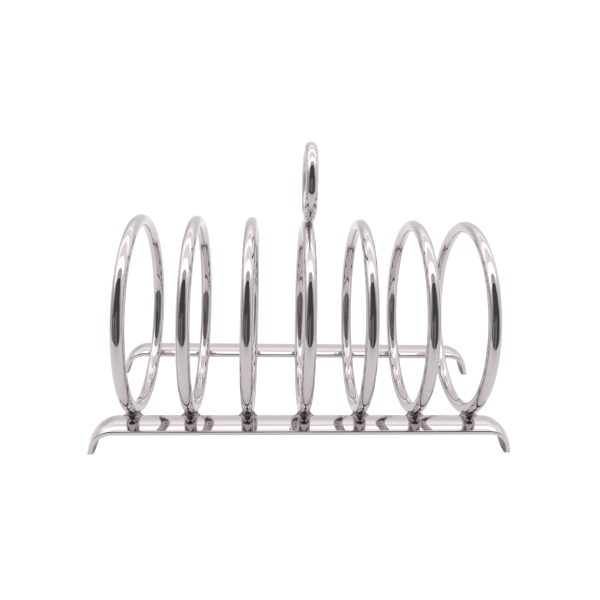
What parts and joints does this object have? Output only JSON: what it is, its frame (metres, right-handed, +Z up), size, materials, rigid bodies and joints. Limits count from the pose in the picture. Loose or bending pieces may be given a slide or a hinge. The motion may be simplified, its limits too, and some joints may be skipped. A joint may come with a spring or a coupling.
{
  "type": "toast rack",
  "caption": "Toast rack of polished steel: upright ring hoops in a row on two low rails with bent-down feet, and a small carry ring on top.",
  "frame": {"origin": "on the table, under the middle of the rack", "axes": "+Z up, +X along the rails, +Y across them from the front rail to the rear rail"},
  "size_m": [0.201, 0.0968, 0.1405],
  "materials": {
    "polished_steel": "mirror-polished stainless steel",
    "weld_metal": "polished weld metal, a little less bright than the bars"
  },
  "bodies": {
    "root": {"hoop_1": "polished_steel", "hoop_2": "polished_steel", "hoop_3": "polished_steel", "hoop_4": "polished_steel", "hoop_5": "polished_steel", "hoop_6": "polished_steel", "hoop_7": "polished_steel", "front_rail": "polished_steel", "rear_rail": "polished_steel", "carry_ring": "polished_steel", "weld_front_1": "weld_metal", "weld_front_2": "weld_metal", "weld_front_3": "weld_metal", "weld_front_4": "weld_metal", "weld_front_5": "weld_metal", "weld_front_6": "weld_metal", "weld_front_7": "weld_metal", "weld_rear_1": "weld_metal", "weld_rear_2": "weld_metal", "weld_rear_3": "weld_metal", "weld_rear_4": "weld_metal", "weld_rear_5": "weld_metal", "weld_rear_6": "weld_metal", "weld_rear_7": "weld_metal", "weld_ring": "weld_metal"}
  },
  "joints": []
}
